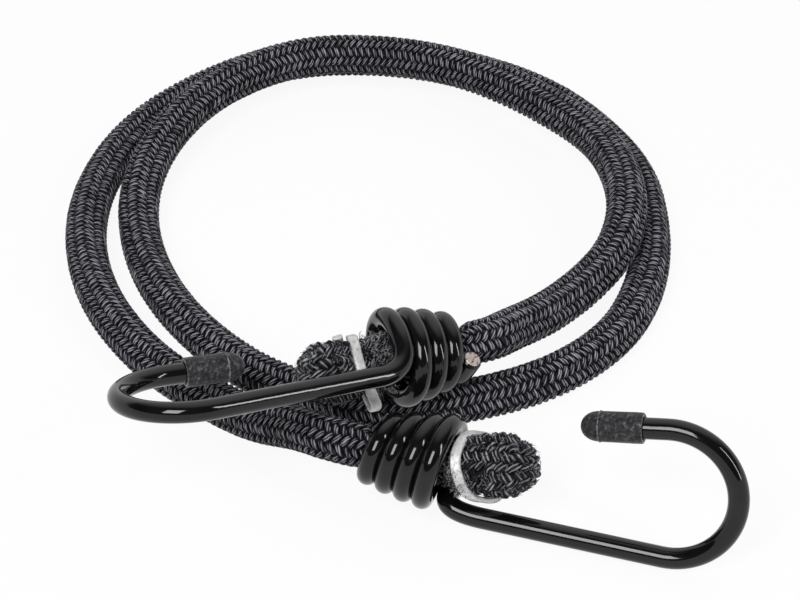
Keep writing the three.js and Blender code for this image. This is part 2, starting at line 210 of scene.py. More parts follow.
class Skin:
    """An oval section carried along a line; across and up are its half sizes at each point."""

    def __init__(self, line, first, across, up):
        self.line, self.run = line, run_along(line)
        self.tangents, self.normals, self.binormals = carried(line, first)
        self.across = np.broadcast_to(across, len(line))
        self.up = np.broadcast_to(up, len(line))
        angle = np.linspace(0, 2 * np.pi, OVAL_POINTS)
        oval = np.stack([self.across.mean() * np.cos(angle), self.up.mean() * np.sin(angle)], axis=1)
        girth = run_along(np.c_[oval, np.zeros(OVAL_POINTS)])
        self.girth = girth[-1]
        self.share_to_angle = lambda share: np.interp(np.mod(share, 1), girth / girth[-1], angle)

    def along(self, values, run):
        if values.ndim == 1:
            return np.interp(run, self.run, values)
        return np.stack([np.interp(run, self.run, values[:, k]) for k in range(3)], axis=-1)

    def at(self, run, share, height):
        """The point at a run along the line, a share of the girth, and a height over the skin."""
        angle = self.share_to_angle(share)
        n = (self.along(self.across, run) + height) * np.cos(angle)
        b = (self.along(self.up, run) + height) * np.sin(angle)
        return (self.along(self.line, run) + n[..., None] * self.along(self.normals, run)
                + b[..., None] * self.along(self.binormals, run))


CORD_RADIUS = 4.0
NECK_X = [-1.2, 0.0, 1.0, 2.2, 4.4, 8.0, SEAM_IN_CONE]
NECK_RADIUS = [CORD_RADIUS, 3.75, 3.1, 2.5, 3.0, CORD_RADIUS, CORD_RADIUS]
x_from_ends = SEAM_IN_CONE - np.minimum(cord_run, CORD_LENGTH - cord_run)
cord_radius = np.interp(x_from_ends, NECK_X, NECK_RADIUS)
cord_skin = Skin(cord_line, (0, 0, 1), cord_radius, cord_radius)
print(f"cord radius from {cord_radius.min():.2f} to {cord_radius.max():.2f} mm")

# %% [markdown]
# ## Turning points into a mesh
#
# Every piece ends as plain vertices and faces. One helper takes points in millimetres and makes the
# object in metres, smooth shaded, with an optional map that runs along the yarn and an optional tone at
# each point. It also puts the piece on its body and hides the CAD nodes that it stands for.

# %% Make the helper for pieces


def make_piece(name, points, faces, material, body, slot, replaces=(), uv=None, tone=None):
    mesh = bpy.data.meshes.new(name)
    mesh.from_pydata((np.asarray(points) * MM).tolist(), [], faces)
    mesh.polygons.foreach_set("use_smooth", [len(face) <= 4 for face in faces])
    if uv is not None:
        corner = np.empty(len(mesh.loops), int)
        mesh.loops.foreach_get("vertex_index", corner)
        mesh.uv_layers.new(name="yarn").data.foreach_set("uv", np.asarray(uv)[corner].ravel())
    if tone is not None:
        mesh.attributes.new("tone", "FLOAT", "POINT").data.foreach_set("value", tone)
    mesh.materials.append(material)
    piece = bpy.data.objects.new(name, mesh)
    scene.collection.objects.link(piece)
    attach(piece, body)
    if replaces:
        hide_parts(*replaces)
    print(f"{name}: {len(mesh.vertices)} points, {len(mesh.polygons)} faces")
    return piece


def ring_faces(rings, sides, first=0, inward=False):
    """Quads between rings of points that follow each other."""
    faces = []
    for i in range(rings - 1):
        for j in range(sides):
            a, b = first + i * sides + j, first + i * sides + (j + 1) % sides
            quad = [a, b, b + sides, a + sides]
            faces.append(quad[::-1] if inward else quad)
    return faces


def lid(first, sides, facing_back=False):
    ring = list(range(first, first + sides))
    return [ring[::-1] if facing_back else ring]


def closed_faces(rings, sides, first=0):
    """Quads between the rings, and a lid on each end."""
    last = first + (rings - 1) * sides
    return ring_faces(rings, sides, first) + lid(first, sides, True) + lid(last, sides)


print("piece helper ready")

# %% [markdown]
# ## Finishes
#
# Every finish is made of nodes, so it has no picture files and stays sharp at any distance. A small
# builder keeps each recipe short: it makes a node, sets its sockets, and wires what is passed as a link.

# %% Make the helper for finishes


class Recipe:
    """Makes and wires nodes in any tree: that of a finish, or of the sky."""

    def __init__(self, tree):
        self.tree = tree

    def node(self, kind, settings=None, **inputs):
        made = self.tree.nodes.new(kind)
        for key, value in (settings or {}).items():
            setattr(made, key, value)
        for key, value in inputs.items():
            self.put(made.inputs[key.replace("_", " ")], value)
        return made

    def put(self, socket, value):
        if isinstance(value, bpy.types.NodeSocket):
            self.tree.links.new(value, socket)
        else:
            socket.default_value = value

    def maths(self, operation, *values):
        made = self.node("ShaderNodeMath", {"operation": operation})
        for socket, value in zip(made.inputs, values):
            self.put(socket, value)
        return made.outputs["Value"]


class Finish(Recipe):
    def __init__(self, name):
        self.material = bpy.data.materials.new(name)
        self.material.use_nodes = True
        super().__init__(self.material.node_tree)
        self.shader = self.tree.nodes["Principled BSDF"]

    def set(self, **inputs):
        for key, value in inputs.items():
            self.put(self.shader.inputs[key.replace("_", " ")], value)
        return self.material

    def ramp(self, factor, *stops):
        made = self.node("ShaderNodeValToRGB", Fac=factor)
        elements = made.color_ramp.elements
        while len(elements) < len(stops):
            elements.new(0.5)
        for element, (position, colour) in zip(elements, stops):
            element.position = position
            element.color = (*colour, 1)
        return made.outputs["Color"]

    def coordinates(self, kind, scale=(1, 1, 1)):
        source = self.node("ShaderNodeTexCoord").outputs[kind]
        return self.node("ShaderNodeMapping", Vector=source, Scale=scale).outputs["Vector"]

    def tone(self):
        return self.node("ShaderNodeAttribute", {"attribute_name": "tone"}).outputs["Fac"]

    def noise(self, vector, scale, detail=3, roughness=0.5):
        return self.node("ShaderNodeTexNoise", Vector=vector, Scale=scale, Detail=detail,
                         Roughness=roughness).outputs["Fac"]

    def between(self, factor, low, high):
        return self.node("ShaderNodeMapRange", Value=factor, To_Min=low, To_Max=high).outputs["Result"]

    def bump(self, height, strength, distance, normal=None):
        inputs = {"Height": height, "Strength": strength, "Distance": distance}
        if normal is not None:
            inputs["Normal"] = normal
        return self.node("ShaderNodeBump", **inputs).outputs["Normal"]


print("finish builder ready")

# %% [markdown]
# ## Yarn
#
# Black textured yarn isn't flat black: its filaments catch the light along the yarn as a soft grey-blue
# sheen, and each float is a little lighter or darker than its neighbour. The sheen is painted: the yarn's
# own shine is kept low, and its lightest filaments get a light grey-blue colour, a painted highlight. The map
# on each float runs along the yarn, so bands along it draw filaments, noise breaks the bands, and the tone
# attribute shifts a float; on the braid the tone also holds painted shade at the ends of each float.

# %% Mix the yarn
FILAMENT_TURN = np.radians(14)


def yarn_finish(name, filament, streak, strong, streaky, stops, roughness, shine, depth):
    """Filaments as bands along the map, broken by streaks, the lightest a painted sheen; filament is a band's
    scale.
    """
    made = Finish(name)
    along_yarn = made.node("ShaderNodeTexCoord").outputs["UV"]
    twist = made.node("ShaderNodeMapping", Vector=along_yarn, Rotation=(0, 0, FILAMENT_TURN))
    twisted = twist.outputs["Vector"]
    bands = made.node("ShaderNodeTexWave", Vector=twisted, Scale=filament, Distortion=2.5, Detail=2.0,
                      Detail_Scale=1.5).outputs["Fac"]
    stretched = made.node("ShaderNodeMapping", Vector=twisted, Scale=streak)
    streaks = made.noise(stretched.outputs["Vector"], 1.0)
    tone = made.tone()
    for factor, value in ((streaks, streaky), (bands, strong)):
        tone = made.maths("MULTIPLY_ADD", factor, value, tone)
    return made.set(Base_Color=made.ramp(tone, *stops), Roughness=made.between(bands, *roughness),
                    Specular_IOR_Level=shine, Sheen_Weight=0.02, Sheen_Roughness=0.4,
                    Normal=made.bump(tone, 0.9, depth))


# The light grey-blue end of each set of stops is painted sheen on the filaments; the dark end is the yarn's
# own black.
YARN = yarn_finish(
    "black_yarn", filament=0.7, streak=(1.6, 0.4, 1), strong=0.3, streaky=0.42,
    stops=((0.43, (0.004, 0.004, 0.005)), (0.75, (0.024, 0.0235, 0.03)), (1.0, (0.34, 0.338, 0.38))),
    roughness=(0.45, 0.3), shine=0.05, depth=0.0003)
LOOSE = yarn_finish(
    "loose_yarn", filament=0.55, streak=(1.4, 0.25, 1), strong=0.4, streaky=0.7,
    stops=((0.54, (0.002, 0.002, 0.003)), (0.82, (0.019, 0.019, 0.024)), (1.0, (0.33, 0.335, 0.36))),
    roughness=(0.5, 0.28), shine=0.15, depth=0.0004)


def mottled(name, scale, stops, bumps, stretch=(1, 1, 1), **inputs):
    """A finish whose colour and bumps come from one noise; bumps are their strength and height."""
    made = Finish(name)
    noise = made.noise(made.coordinates("Object", stretch), scale)
    return made.set(Base_Color=made.ramp(noise, *stops), Normal=made.bump(noise, *bumps), **inputs)


# Painted shade: the yarn under the floats is coloured darker than the floats, as it lies in their shade.
PAINTED_SHADE_UNDER = mottled("yarn_in_shade", 1800, ((0.3, (0.002, 0.002, 0.002)), (0.8, (0.008, 0.008, 0.009))),
                bumps=(0.4, 0.0002), Roughness=0.9)
print("yarn finishes:", YARN.name, LOOSE.name, PAINTED_SHADE_UNDER.name)

# %% [markdown]
# ## The braid
#
# The sheath is a round braid of twelve yarns each way, over two and under two. What shows of it are the
# floats: short humps of yarn in twelve columns round the cord, slanting left and right by turns, each
# column half a step behind the next. A bump map would lose them at the outline, so each float is a real
# little pillow, laid on an inner tube that is painted dark as shade. Its ends dive under its neighbours,
# and its underside is closed.

# %% Make the helper for floats
LENGTHS_OF_FLOAT = 7
FLOAT_SINK = 0.06
FLOAT_LEAN = 0.75
FLOAT_TAPER = 0.3
FLOAT_ROOT = 1.2
CROWN_DIVE, DIVE_POWER, CROWN_ROUND = 0.9, 2.8, 0.98
STRAND_HEIGHT = 0.16
STRAND_TWIST = 1.6
JITTER = {"run": 0.035, "share": 0.0025, "width": 0.04, "lift": 0.045}
MAP_SHIFT = 400
LIGHTEST_TONE = 0.6


def float_faces(count, widths, slant):
    """Quads over each float, and a fan of triangles from its rim to the root point that closes it."""
    per_float = LENGTHS_OF_FLOAT * widths
    grid = np.arange(per_float).reshape(LENGTHS_OF_FLOAT, widths)
    rim = [*grid[0], *grid[1:, -1], *grid[-1, -2::-1], *grid[-2:0:-1, 0]]
    pattern = [[grid[i, j], grid[i + 1, j], grid[i + 1, j + 1], grid[i, j + 1]]
               for i in range(LENGTHS_OF_FLOAT - 1) for j in range(widths - 1)]
    pattern += [[a, b, per_float] for a, b in zip(rim, rim[1:] + rim[:1])]
    if slant < 0:
        pattern = [face[::-1] for face in pattern]
    return [[int(v) + n * (per_float + 1) for v in face] for n in range(count) for face in pattern]


def lay_floats(skin, step, slant, seed, spread, rise, fill, tone, uneven=1.0, columns=12, span=None,
               widths=5, strands=0):
    """The floats that slant one way (+1 or -1): points, faces, yarn map and tones.

    The step is from float to float along a column. The spread is a float's share of the girth, the rise is
    how far its crown stands over its dived ends, and the fill is its width as a share of the room it has.
    The tone is a float's own, its spread from float to float, and a painted shade: what its crown adds
    over its ends and edges, which are painted darker where they dive under.
    Loose yarn opens into a number of twisted strands, which show as ridges along the float.
    """
    random = np.random.default_rng(seed)
    lead = FLOAT_LEAN * step * columns
    first, last = span or (0, skin.run[-1])
    runs = np.arange(first + step, last - 0.4 * step, step) + slant * step / 4
    places = np.arange(0 if slant > 0 else 1, columns, 2)
    run, column = (grid.ravel() for grid in np.meshgrid(runs, places, indexing="ij"))
    count = len(run)
    run = run + random.normal(0, JITTER["run"] * uneven * step, count)
    share = (column + 0.25) / columns + random.normal(0, JITTER["share"] * uneven, count)
    tilt = np.arctan2(skin.girth, lead)
    width = step * np.sin(tilt) * random.normal(fill, JITTER["width"] * uneven, count)
    lift = random.normal(0, JITTER["lift"] * uneven, count) * rise
    t = np.linspace(-1, 1, LENGTHS_OF_FLOAT)[None, :, None]
    u = np.linspace(-1, 1, widths)[None, None, :]
    half = width[:, None, None] / 2 * (1 - FLOAT_TAPER * t**2) * u
    runs_all = run[:, None, None] + t * spread * lead / 2 - slant * half * np.sin(tilt)
    shares_all = share[:, None, None] + slant * t * spread / 2 + half * np.cos(tilt) / skin.girth
    crown = (1 - CROWN_DIVE * np.abs(t) ** DIVE_POWER) * (1 - CROWN_ROUND * u**2) ** 0.5
    heights = rise * (crown - 1) + FLOAT_SINK + lift[:, None, None]
    if strands:
        start = random.uniform(0, 2 * np.pi, count)[:, None, None]
        heights = heights + STRAND_HEIGHT * crown * np.cos(np.pi * strands * u + STRAND_TWIST * t + start)
    tops = skin.at(np.clip(runs_all, 0, skin.run[-1]), shares_all, heights)
    roots = skin.at(np.clip(run, 0, skin.run[-1]), share, np.full(count, -FLOAT_ROOT * rise))
    per_float = LENGTHS_OF_FLOAT * widths
    points = np.concatenate([tops.reshape(count, per_float, 3), roots[:, None, :]], axis=1)
    shift = random.uniform(0, MAP_SHIFT, (2, count, 1, 1))
    long_map = np.broadcast_to(t * spread * skin.girth / 2, half.shape) + shift[0]
    uv = np.stack([half + shift[1], long_map], -1).reshape(count, per_float, 2)
    uv = np.concatenate([uv, uv[:, :1]], axis=1)
    own_tone = np.clip(random.normal(tone[0], tone[1], count), 0, LIGHTEST_TONE)
    tones = own_tone[:, None] + np.zeros(per_float + 1)
    # Painted shade: the crown adds to the tone, so each float is painted darker at its ends and edges, where
    # they dive under its neighbours.
    tones[:, :per_float] += tone[2] * np.broadcast_to(crown, half.shape).reshape(count, per_float)
    faces = float_faces(count, widths, slant)
    return points.reshape(-1, 3), faces, uv.reshape(-1, 2), tones.ravel()


print("float helper ready")

# %% [markdown]
# The braid is laid in four pieces: the floats that slant left and those that slant right, on the inner
# loop and on the outer loop. Where the cord rests on the floor, its floats are pressed flat.

# %% Lay the floats of the braid
BRAID_STEP = 1.37
BRAID_SPREAD = 37 / 360
BRAID_RISE = 0.48
BRAID_FILL = 0.94
# The third value of the braid's tone is painted shade: how much lighter a float's crown is than its ends and
# edges.
BRAID_TONE_AND_SHADE = (0.12, 0.03, 0.4)
BRAID_UNEVEN = 0.6
BRAID_SEED = 7
SLANTS = {"leftward": 1, "rightward": -1}

loops = {"inner": (0, CORD_LENGTH / 2), "outer": (CORD_LENGTH / 2 - BRAID_STEP, CORD_LENGTH)}
for loop, span in loops.items():
    for way, slant in SLANTS.items():
        points, faces, uv, tones = lay_floats(
            cord_skin, BRAID_STEP, slant, BRAID_SEED + slant, BRAID_SPREAD, BRAID_RISE, BRAID_FILL,
            BRAID_TONE_AND_SHADE, BRAID_UNEVEN, span=span)
        points[:, 2] = np.maximum(points[:, 2], 0)
        make_piece(f"braid_{way}_{loop}", points, faces, YARN, "cord", "braid", uv=uv, tone=tones)

# %% [markdown]
# Under the floats lies the rest of each yarn, in shade. A hollow tube stands for it, coloured darker than the
# yarn on top: its dark colour is painted shade. It can do with fewer points than the braid, so it takes every
# fourth point of the line.

# %% Make the inner tube of the sheath
THINNING = 4
TUBE_SIDES = 24
TUBE_SKIN = 0.55
TUBE_WALL = 0.2
TUBE_OFF_FLOOR = 0.1


def hollow_tube(skin, sink, wall):
    run = skin.run[::THINNING]
    share = np.arange(TUBE_SIDES) / TUBE_SIDES
    runs, shares = np.meshgrid(run, share, indexing="ij")
    scale = skin.along(skin.across, runs) / CORD_RADIUS
    outer = skin.at(runs, shares, -sink * scale).reshape(-1, 3)
    inner = skin.at(runs, shares, -(sink + wall) * scale).reshape(-1, 3)
    count = len(outer)
    faces = ring_faces(len(run), TUBE_SIDES) + ring_faces(len(run), TUBE_SIDES, count, inward=True)
    last = count - TUBE_SIDES
    for j in range(TUBE_SIDES):
        k = (j + 1) % TUBE_SIDES
        faces.append([k, j, count + j, count + k])
        faces.append([last + j, last + k, count + last + k, count + last + j])
    return np.vstack([outer, inner]), faces


points, faces = hollow_tube(cord_skin, TUBE_SKIN, TUBE_WALL)
points[:, 2] = np.maximum(points[:, 2], TUBE_OFF_FLOOR)
inner_tube = make_piece("sheath_inner", points, faces, PAINTED_SHADE_UNDER, "cord", "braid", replaces=["sheath"])

# %% [markdown]
# The stretch comes from a bundle of cut rubber threads inside the tube. Nobody sees them on a whole cord,
# so nine square threads stand for the bundle.

# %% Bundle the rubber threads
RUBBER = mottled("cut_rubber_thread", 900, ((0.3, (0.36, 0.27, 0.15)), (0.7, (0.5, 0.4, 0.24))),
                 bumps=(0.3, 0.0002), Roughness=0.85)
THREAD_PITCH = 1.5
THREAD_SIDE = 1.33
SQUARE = ((1, 1), (-1, 1), (-1, -1), (1, -1))


def square_thread(skin, row, column):
    """A square thread that keeps its place in the bundle, and thins where the cord is squeezed."""
    line, n, b = skin.line[::THINNING], skin.normals[::THINNING], skin.binormals[::THINNING]
    scale = (skin.across[::THINNING] / CORD_RADIUS)[:, None]
    corners = [line + scale * ((column * THREAD_PITCH + u * THREAD_SIDE / 2) * n
                               + (row * THREAD_PITCH + v * THREAD_SIDE / 2) * b)
               for u, v in SQUARE]
    return np.stack(corners, axis=1).reshape(-1, 3)


points, faces = [], []
for row in (-1, 0, 1):
    for column in (-1, 0, 1):
        first = sum(len(thread) for thread in points)
        points.append(square_thread(cord_skin, row, column))
        faces += closed_faces(len(points[-1]) // 4, 4, first)
threads = [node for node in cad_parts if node.startswith("rubber_thread")]
make_piece("rubber_core", np.vstack(points), faces, RUBBER, "cord", "core_rubber", replaces=threads)

# %% [markdown]
# ## The folded ends
#
# Past the cone the cord has no pull on it, so the sheath opens and its floats grow. The end lies back on
# itself in a tight fold, pinched flat where the clip holds both limbs. The same braid helper dresses it:
# only the line and the section change.

# %% Draw the folds
CONE_LENGTH = 16.274
FOLDS = {
    "a": {"end_x": 34.4, "lean": 0.0, "sink": -0.6, "wide": 5.7, "near_x": 24.4, "far_x": 23.4,
          "tail_x": 18.0, "tail_lift": 0.0},
    "b": {"end_x": 31.3, "lean": -0.2, "sink": 0.0, "wide": 5.6, "near_x": 17.8, "far_x": 24.0,
          "tail_x": 16.7, "tail_lift": 0.7},
}
FOLD_START = CONE_LENGTH - 4.2
LIMB_HALF = 2.6
LIMB_OFFSET = 2.7
HELD_HALF = 2.35
HELD_SHARE = 0.86
ROUNDING = 0.3
SINK_RUN = 5


def cos_sin(degrees):
    return np.cos(np.radians(degrees)), np.sin(np.radians(degrees))


def fold_lift(fold, x):
    out = np.maximum(0, x - CONE_LENGTH)
    return fold["lean"] * out + fold["sink"] * np.minimum(1, out / SINK_RUN)


def fold_stations(fold):
    """x, offset in the fold's plane, lift, half thickness and half width at each station."""
    turn = fold["end_x"] - LIMB_OFFSET - LIMB_HALF
    held = HELD_SHARE * fold["wide"]
    stations = [(FOLD_START + x, 0, CORD_RADIUS, CORD_RADIUS) for x in (-1, 0, 1.3)]
    stations += [(CONE_LENGTH - 1.5, -1.1, 3.2, 4.1), (CONE_LENGTH + 0.5, -HELD_HALF, HELD_HALF, 4.4),
                 (fold["far_x"], -HELD_HALF, HELD_HALF, held)]
    for degrees in range(-90, 91, 30):
        c, s = cos_sin(degrees)
        wide = fold["wide"] * (1 - ROUNDING * c)
        stations.append((turn + LIMB_OFFSET * c, LIMB_OFFSET * s, LIMB_HALF, wide))
    for x in (fold["near_x"], fold["tail_x"], fold["tail_x"] - 1):
        stations.append((x, HELD_HALF, HELD_HALF, held))
    x, offset, thick, wide = np.array(stations, float).T
    lift = fold_lift(fold, x)
    lift[-2:] += fold["tail_lift"]
    wide[-2:] += fold["tail_lift"] / 2
    return np.stack([x, offset, lift, thick, wide], axis=1)


def fold_skin(letter):
    whole = spline(fold_stations(FOLDS[letter]), 12)
    frame_of_fold = ENDS[letter]["fold_frame"]
    line = in_frame(frame_of_fold, whole[:, :3])
    return Skin(line, frame_of_fold.col[2][:3], whole[:, 4], whole[:, 3])


fold_skins = {letter: fold_skin(letter) for letter in ENDS}
print("folds in mm:", {letter: round(float(skin.run[-1]), 1) for letter, skin in fold_skins.items()})

# %% [markdown]
# A fold is a solid limb, painted dark as shade, with loose floats laid over it. Loose yarn opens into
# strands, so these floats are wider, higher and ridged, and their steps are longer than those of the free
# cord.

# %% Dress the folds
FOLD_COLUMNS = 14
FOLD_STEP = 1.65
FOLD_SPREAD = 27 / 360
FOLD_FILL = 1.12
FOLD_RISE = 0.9
FOLD_TONE = (0.2, 0.05, 0)
FOLD_SIDES = 32
FOLD_SEED = 20
FOLD_INNER_SINK = 0.8
FOLD_WIDTHS = 13
FOLD_STRANDS = 3.5


def solid_skin(skin, sides, sink):
    runs, shares = np.meshgrid(skin.run, np.arange(sides) / sides, indexing="ij")
    points = skin.at(runs, shares, np.full(runs.shape, -sink)).reshape(-1, 3)
    return points, closed_faces(len(skin.run), sides)


for letter, skin in fold_skins.items():
    points, faces = solid_skin(skin, FOLD_SIDES, FOLD_INNER_SINK * FOLD_RISE)
    make_piece(f"fold_inner_{letter}", points, faces, PAINTED_SHADE_UNDER, "cord", "braid", replaces=[f"cord_end_{letter}"])
    for way, slant in SLANTS.items():
        points, faces, uv, tones = lay_floats(
            skin, FOLD_STEP, slant, FOLD_SEED + slant, FOLD_SPREAD, FOLD_RISE, FOLD_FILL, FOLD_TONE,
            columns=FOLD_COLUMNS, widths=FOLD_WIDTHS, strands=FOLD_STRANDS)
        make_piece(f"fold_braid_{way}_{letter}", points, faces, LOOSE, "cord", "braid", uv=uv, tone=tones)

# %% [markdown]
# ## Coated wire
#
# The hook is one length of steel wire in a black plastic coat. The coat is smooth and glossy everywhere
# but at the sawn end, where the bare steel shows. A thick gloss coat reflects lamps as long clear
# streaks, with slow ripples.

# %% Mix the plastic coat and the steel
coat = Finish("black_dipped_coat")
coat_space = coat.coordinates("Object")
ripple = coat.noise(coat_space, 260, 2)
grain = coat.noise(coat_space, 2600, 2)
coat_colour = coat.ramp(ripple, (0.3, (0.003, 0.003, 0.0035)), (0.7, (0.006, 0.006, 0.007)))
COAT = coat.set(Base_Color=coat_colour, Roughness=coat.between(grain, 0.05, 0.12), IOR=1.52,
                Specular_IOR_Level=0.36, Normal=coat.bump(ripple, 0.05, 0.0006))

STEEL = mottled("sawn_steel", 900, ((0.36, (0.12, 0.06, 0.04)), (0.46, (0.5, 0.42, 0.4)),
                                    (0.7, (0.64, 0.58, 0.56))),
                bumps=(0.5, 0.0002), stretch=(1, 1, 6), Metallic=0.85, Roughness=0.42)
print("hook finishes:", COAT.name, STEEL.name)

# %% [markdown]
# The wire's middle line starts at the sawn end with a short stub, winds the cone, runs into the leg, and
# goes round the bend to the arm. The turns of a cone touch. Each of the two cones leans, swells and ends a
# little differently, so each has its own numbers.

# %% Draw the hooks
COILS = {
    "a": {"mouth": 16.45, "pitch": 3.54, "small": 4.46, "growth": 0.77, "swell": 0.1, "lean": (0, 0.04),
          "push": 0.4, "shift": (-0.49, -0.07), "last": 238.6, "start": 0.18, "stub": 3.9, "turns": 3.97,
          "arm": 12.0},
    "b": {"mouth": 15.98, "pitch": 3.57, "small": 4.6, "growth": 0.64, "swell": 0.086, "lean": (-0.02, -0.13),
          "push": -0.6, "shift": (0.37, -0.15), "last": 254, "start": 0.14, "stub": 0.5, "turns": 4.02,
          "arm": 13.3},
}
PUSHED_TURNS = 0.45
LEG_OFFSET, LEG_RUN_IN, LEG_LENGTH = 8.82, 6.5, 31.7
BEND_RADIUS, BEND_ANGLE = 11.8, 189.5


def eased(share):
    share = np.clip(share, 0, 1)
    return share**2 * (3 - 2 * share)


def cone_point(coil, turn):
    """A point of the wound cone; the turns lean, and the last one is pushed towards the leg or held back."""
    left = coil["turns"] - turn
    angle = np.radians(coil["last"] - 360 * left)
    radius = coil["small"] + coil["growth"] * turn + coil["swell"] * turn * (4 - turn)
    y, z = -radius * np.cos(angle), radius * np.sin(angle)
    x = coil["mouth"] - coil["pitch"] * left + coil["push"] * eased(1 - left / PUSHED_TURNS)
    x = x - eased(left) * (coil["lean"][0] * y + coil["lean"][1] * z)
    y, z = (value + shift * left / coil["turns"] for value, shift in zip((y, z), coil["shift"]))
    return np.stack([x, y, z], -1)


def hook_line(coil):
    """The wire's middle line in the hook's frame, and the way the arm points."""
    cone = cone_point(coil, np.linspace(coil["start"], coil["turns"], 240))
    stub = cone[0] + np.linspace(coil["stub"], 0, 9)[:-1, None] * unit(cone[0] - cone[1])
    leg_start = np.array([CONE_LENGTH + LEG_RUN_IN, 0, -LEG_OFFSET])
    leaving = LEG_RUN_IN / 2 * unit(cone[-1] - cone[-2])
    t = np.linspace(0, 1, 26)[1:, None]
    run_in = ((1 - t)**3 * cone[-1] + 3 * t * (1 - t)**2 * (cone[-1] + leaving)
              + 3 * t**2 * (1 - t) * (leg_start - (LEG_RUN_IN / 2, 0, 0)) + t**3 * leg_start)
    leg = leg_start + np.linspace(0, LEG_LENGTH, 20)[1:-1, None] * (1, 0, 0)
    centre = leg_start + (LEG_LENGTH, 0, BEND_RADIUS)
    angle = np.radians(-90 + np.linspace(0, BEND_ANGLE, 60))[:, None]
    bend = centre + BEND_RADIUS * (np.cos(angle) * (1, 0, 0) + np.sin(angle) * (0, 0, 1))
    end_angle = np.radians(BEND_ANGLE - 90)
    arm_way = np.array([-np.sin(end_angle), 0, np.cos(end_angle)])
    arm = bend[-1] + np.linspace(0, coil["arm"], 8)[1:, None] * arm_way
    return np.vstack([stub, cone, run_in, leg, bend, arm]), arm_way


hook_lines = {letter: hook_line(coil) for letter, coil in COILS.items()}
wire_lengths = {letter: round(float(run_along(line)[-1]), 1) for letter, (line, _) in hook_lines.items()}
print("wire in mm:", wire_lengths)

# %% [markdown]
# Each hook gets two skins round its line: the coat, with a lip that draws in at the sawn end, and the
# steel inside it, which stands out of the lip by a hair and has a slightly broken edge.

# %% Coat the hooks
COAT_RADIUS, STEEL_RADIUS = 1.88, 1.5
LIP_RUN = [0, 0.12, 0.35]
LIP_RADIUS = [COAT_RADIUS - 0.3, COAT_RADIUS - 0.08, COAT_RADIUS]
STEEL_OUT = 0.12
SAWN_RUN = [0, 0.06]
SAWN_RADIUS = [STEEL_RADIUS - 0.12, STEEL_RADIUS]
WIRE_SIDES = 28


def round_wire(line, runs, radii):
    """A closed round wire whose radius is given at a few runs from its sawn end."""
    radius = np.interp(run_along(line), runs, radii)
    return solid_skin(Skin(line, (0, 0, 1), radius, radius), WIRE_SIDES, 0)


def hook_piece(name, letter, points, faces, material, slot, node, **maps):
    """A piece that is drawn in the hook's frame and rides on the hook."""
    placed = in_frame(ENDS[letter]["hook_frame"], points)
    make_piece(f"{name}_{letter}", placed, faces, material, f"hook_{letter}", slot,
               replaces=[f"{node}_{letter}"], **maps)


for letter, (wire_line, _) in hook_lines.items():
    points, faces = round_wire(wire_line, LIP_RUN, LIP_RADIUS)
    hook_piece("coated_wire", letter, points, faces, COAT, "black_coat", "hook_coat")
    steel_line = np.vstack([wire_line[0] + STEEL_OUT * unit(wire_line[0] - wire_line[1]), wire_line])
    points, faces = round_wire(steel_line, SAWN_RUN, SAWN_RADIUS)
    hook_piece("steel_wire", letter, points, faces, STEEL, "steel", "hook_wire")

# %% [markdown]
# ## Tip caps
#
# A soft vinyl cap keeps the tip from scratching. Its skin is dull, speckled and scuffed, and its colour is
# lighter at its mouth and at the ring of its dome. Noise at several sizes gives the skin, and the tone
# attribute the lighter edges.

# %% Mix the vinyl
cap = Finish("dull_vinyl")
cap_space = cap.coordinates("Object")
specks = cap.noise(cap_space, 1500, 4, 0.7)
clouds = cap.noise(cap_space, 380)
scuffs = cap.noise(cap.coordinates("UV", (0.5, 7, 1)), 1.0, 3, 0.6)
cap_colour = cap.ramp(cap.maths("ADD", specks, cap.tone()), (0.42, (0.003, 0.003, 0.004)),
                      (0.56, (0.03, 0.03, 0.034)), (0.78, (0.26, 0.26, 0.27)))
CAP = cap.set(Base_Color=cap_colour, Roughness=cap.between(clouds, 0.3, 0.55), Specular_IOR_Level=0.35,
              Normal=cap.bump(specks, 0.6, 0.0003, cap.bump(scuffs, 0.6, 0.0004)))
print("cap finish:", CAP.name)

# %% [markdown]
# The cap has a faint ring where the dome begins, and a soft rounded mouth. A profile of radii and heights,
# turned round the arm as on a lathe, gives the shape.

# %% Turn the tip caps
CAP_LENGTH, CAP_SEAT = 11.0, 9.2
CAP_SIDES = 40
CAP_BORE = 1.95
CAP_RADIUS = 2.62
DOME = 3.3
SHOULDER = CAP_LENGTH - DOME
DOME_RING = [(2.78, SHOULDER - 0.14), (2.78, SHOULDER - 0.06)]
MOUTH_EDGE = (2.45, 0)
LIGHTER_EDGES = [MOUTH_EDGE, *DOME_RING]
# The mouth and the ring of the dome get a lighter colour through the tone.
EDGE_LIGHTENING = 0.2

profile = [(0, CAP_SEAT + 0.1), (CAP_BORE, CAP_SEAT + 0.1), (CAP_BORE, 0.1), (2.1, 0), MOUTH_EDGE,
           (CAP_RADIUS, 0.12), (2.68, 0.4), (2.7, 1.5), (2.66, 5), (2.65, SHOULDER - 0.3), *DOME_RING,
           (CAP_RADIUS, SHOULDER + 0.1)]
for degrees in range(12, 90, 13):
    c, s = cos_sin(degrees)
    profile.append((CAP_RADIUS * c**0.9, SHOULDER + 0.1 + (DOME - 0.1) * s))
profile.append((0, CAP_LENGTH))


